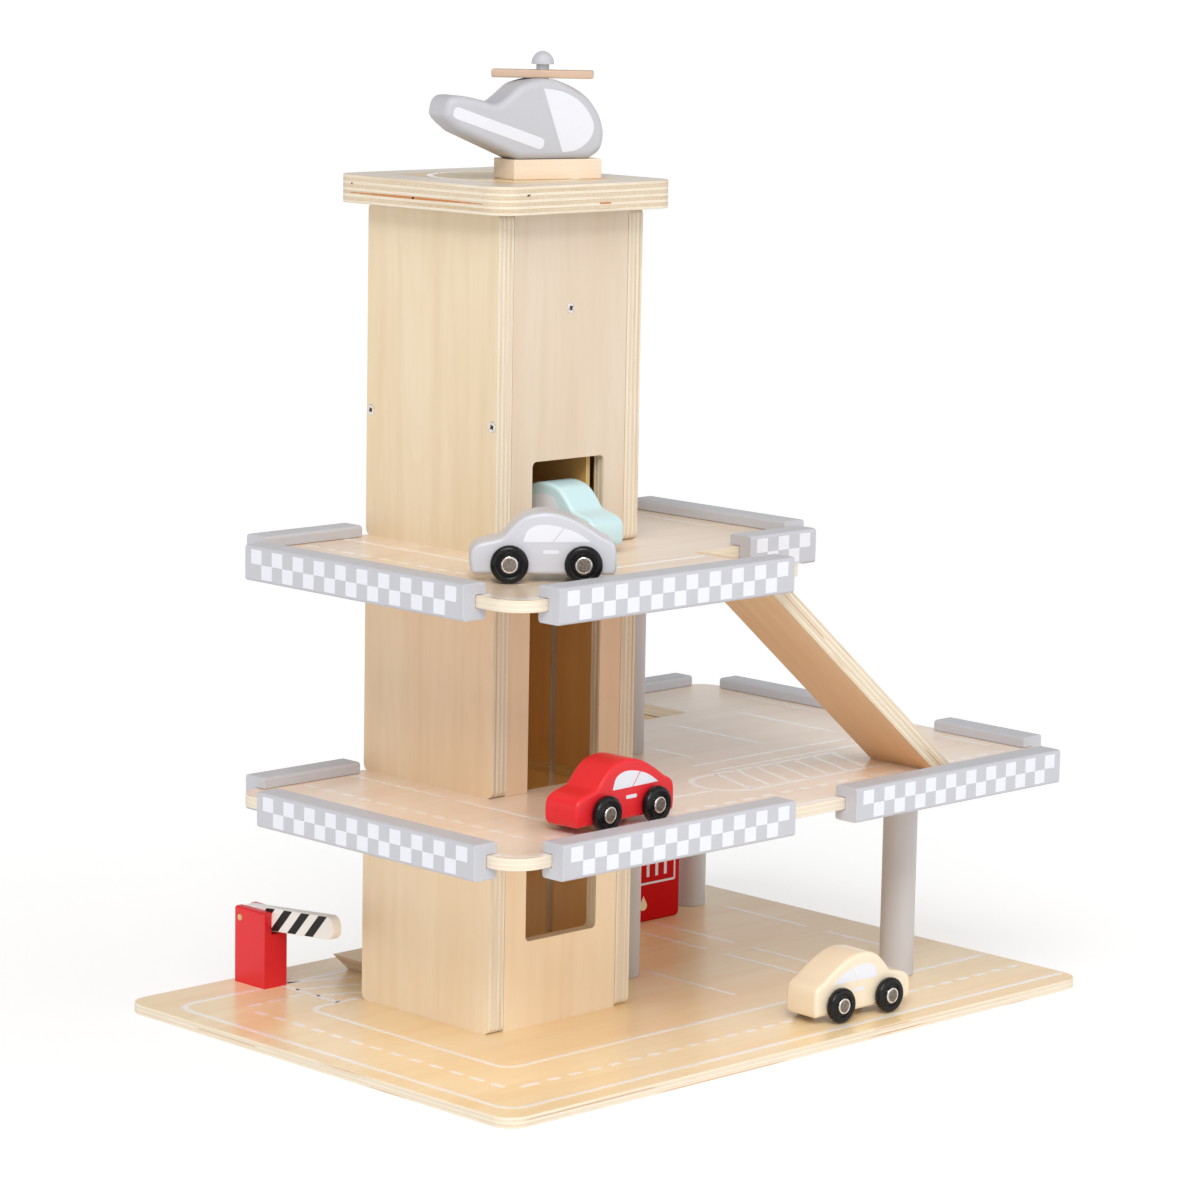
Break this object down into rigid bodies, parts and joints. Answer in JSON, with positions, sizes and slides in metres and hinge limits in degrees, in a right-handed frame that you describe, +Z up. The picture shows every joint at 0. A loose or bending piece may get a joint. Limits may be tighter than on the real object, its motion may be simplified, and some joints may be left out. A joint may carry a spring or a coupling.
{
  "type": "toy parking garage",
  "caption": "Wooden toy garage: a lift tower with car decks, ramps, edge rails, a barrier gate, a fuel pump, small cars and a helicopter on the roof.",
  "frame": {"origin": "middle of the base board's underside", "axes": "+X along the base board's long side, +Y from its front side to its back side, +Z up"},
  "size_m": [0.46, 0.318, 0.5424],
  "materials": {
    "birch_plywood": "clear matt varnish, ply layers on the edges",
    "plain_wood": "unfinished, sanded",
    "grey_paint": "satin paint with a white printed check",
    "red_paint": "satin paint",
    "cream_paint": "satin paint",
    "blue_paint": "satin paint",
    "white_paint": "satin paint with black stripes",
    "black_wheel": "gloss, with a bright steel hub cap"
  },
  "bodies": {
    "garage": {"base_board": "birch_plywood", "lower_deck": "birch_plywood", "upper_deck": "birch_plywood", "roof_board": "birch_plywood", "tower_left_wall_low": "birch_plywood", "tower_left_wall_middle": "birch_plywood", "tower_left_wall_top": "birch_plywood", "tower_right_wall_low": "birch_plywood", "tower_right_wall_middle": "birch_plywood", "tower_right_wall_top": "birch_plywood", "tower_front_wall_low": "birch_plywood", "tower_front_wall_middle": "birch_plywood", "tower_front_wall_top": "birch_plywood", "tower_back_wall": "birch_plywood", "lower_rail_front_left": "grey_paint", "lower_rail_front_right": "grey_paint", "lower_rail_left": "grey_paint", "lower_rail_back_left": "grey_paint", "lower_rail_back_right": "grey_paint", "lower_rail_right_back": "grey_paint", "lower_rail_right_front": "grey_paint", "upper_rail_front": "grey_paint", "upper_rail_left": "grey_paint", "upper_rail_back_left": "grey_paint", "upper_rail_slot": "grey_paint", "upper_rail_right": "grey_paint", "upper_ramp": "birch_plywood", "lower_ramp": "birch_plywood", "ramp_landing": "birch_plywood", "post_centre_low": "grey_paint", "post_front_low": "grey_paint", "post_back_low": "grey_paint", "post_centre_high": "grey_paint", "fuel_pump": "red_paint", "gate_post": "red_paint", "gate_pin": "plain_wood"},
    "lift": {"lift_floor": "birch_plywood", "lift_wall_left": "birch_plywood", "lift_wall_right": "birch_plywood", "lift_crossbar": "plain_wood"},
    "crank": {"lift_spindle": "plain_wood", "crank_arm": "plain_wood", "crank_knob": "red_paint"},
    "barrier": {"gate_arm": "white_paint"},
    "helicopter": {"helicopter_foot": "plain_wood", "helicopter_fuselage": "grey_paint", "rotor_peg": "grey_paint"},
    "rotor": {"rotor_blade": "plain_wood"},
    "red_car": {"red_car_body": "red_paint"},
    "red_car_front_axle": {"red_car_front_wheels": "black_wheel"},
    "red_car_rear_axle": {"red_car_rear_wheels": "black_wheel"},
    "cream_car": {"cream_car_body": "cream_paint"},
    "cream_car_front_axle": {"cream_car_front_wheels": "black_wheel"},
    "cream_car_rear_axle": {"cream_car_rear_wheels": "black_wheel"},
    "grey_car": {"grey_car_body": "grey_paint"},
    "grey_car_front_axle": {"grey_car_front_wheels": "black_wheel"},
    "grey_car_rear_axle": {"grey_car_rear_wheels": "black_wheel"},
    "blue_car": {"blue_car_body": "blue_paint"},
    "blue_car_front_axle": {"blue_car_front_wheels": "black_wheel"},
    "blue_car_rear_axle": {"blue_car_rear_wheels": "black_wheel"}
  },
  "joints": [
    {"name": "lift_slide", "type": "slide", "parent": "garage", "child": "lift", "axis": [0, 0, 1], "range_m": [-0.2556, 0]},
    {"name": "crank_turn", "type": "hinge", "parent": "garage", "child": "crank", "pos_m": [-0.0715, 0.081, 0.4043], "axis": [0, 1, 0], "range_deg": [-1220.5, 0]},
    {"name": "barrier_swing", "type": "hinge", "parent": "garage", "child": "barrier", "pos_m": [-0.145, 0.1495, 0.0443], "axis": [-1, 0, 0], "range_deg": [-4.8, 80]},
    {"name": "red_car_roll", "type": "slide", "parent": "garage", "child": "red_car", "axis": [-0.999, -0.0436, 0], "range_m": [-0.14, 0.052]},
    {"name": "red_car_front_spin", "type": "hinge", "parent": "red_car", "child": "red_car_front_axle", "pos_m": [-0.13698, -0.11634, 0.1489], "axis": [0.0436, -0.999, 0], "range_deg": [-802.64, 298.44]},
    {"name": "red_car_rear_spin", "type": "hinge", "parent": "red_car", "child": "red_car_rear_axle", "pos_m": [-0.09842, -0.11466, 0.1489], "axis": [0.0436, -0.999, 0], "range_deg": [-802.64, 298.44]},
    {"name": "cream_car_roll", "type": "slide", "parent": "garage", "child": "cream_car", "axis": [0.9994, -0.0349, 0], "range_m": [-0.22, 0.115]},
    {"name": "cream_car_front_spin", "type": "hinge", "parent": "cream_car", "child": "cream_car_front_axle", "pos_m": [0.08179, -0.12517, 0.0163], "axis": [0.0349, 0.9994, 0], "range_deg": [-1261.01, 659.4]},
    {"name": "cream_car_rear_spin", "type": "hinge", "parent": "cream_car", "child": "cream_car_rear_axle", "pos_m": [0.04321, -0.12383, 0.0163], "axis": [0.0349, 0.9994, 0], "range_deg": [-1261.01, 659.4]},
    {"name": "grey_car_roll", "type": "slide", "parent": "garage", "child": "grey_car", "axis": [-0.757, 0.6534, 0], "range_m": [-0.008, 0.02]},
    {"name": "grey_car_front_spin", "type": "hinge", "parent": "grey_car", "child": "grey_car_front_axle", "pos_m": [-0.17261, -0.09099, 0.2829], "axis": [-0.6534, -0.757, 0], "range_deg": [-46.34, 115.09]},
    {"name": "grey_car_rear_spin", "type": "hinge", "parent": "grey_car", "child": "grey_car_rear_axle", "pos_m": [-0.14339, -0.11621, 0.2829], "axis": [-0.6534, -0.757, 0], "range_deg": [-46.34, 115.09]},
    {"name": "blue_car_roll", "type": "slide", "parent": "garage", "child": "blue_car", "axis": [0, -1, 0], "range_m": [-0.05, 0.068]},
    {"name": "blue_car_front_spin", "type": "hinge", "parent": "blue_car", "child": "blue_car_front_axle", "pos_m": [-0.0725, -0.0434, 0.2829], "axis": [1, 0, 0], "range_deg": [-286.98, 390.11]},
    {"name": "blue_car_rear_spin", "type": "hinge", "parent": "blue_car", "child": "blue_car_rear_axle", "pos_m": [-0.0725, -0.0048, 0.2829], "axis": [1, 0, 0], "range_deg": [-286.98, 390.11]},
    {"name": "helicopter_lift_off", "type": "slide", "parent": "garage", "child": "helicopter", "axis": [0, 0, 1], "range_m": [0, 0.12]},
    {"name": "rotor_spin", "type": "hinge", "parent": "helicopter", "child": "rotor", "pos_m": [-0.06542, 0.00165, 0.5278], "axis": [0, 0, 1], "continuous": true}
  ],
  "couplings": [
    {"joint": "crank_turn", "follows": "lift_slide", "rad_per_m": 83.333},
    {"joint": "red_car_front_spin", "follows": "red_car_roll", "rad_per_m": 100},
    {"joint": "red_car_rear_spin", "follows": "red_car_roll", "rad_per_m": 100},
    {"joint": "cream_car_front_spin", "follows": "cream_car_roll", "rad_per_m": 100},
    {"joint": "cream_car_rear_spin", "follows": "cream_car_roll", "rad_per_m": 100},
    {"joint": "grey_car_front_spin", "follows": "grey_car_roll", "rad_per_m": 100},
    {"joint": "grey_car_rear_spin", "follows": "grey_car_roll", "rad_per_m": 100},
    {"joint": "blue_car_front_spin", "follows": "blue_car_roll", "rad_per_m": 100},
    {"joint": "blue_car_rear_spin", "follows": "blue_car_roll", "rad_per_m": 100}
  ]
}
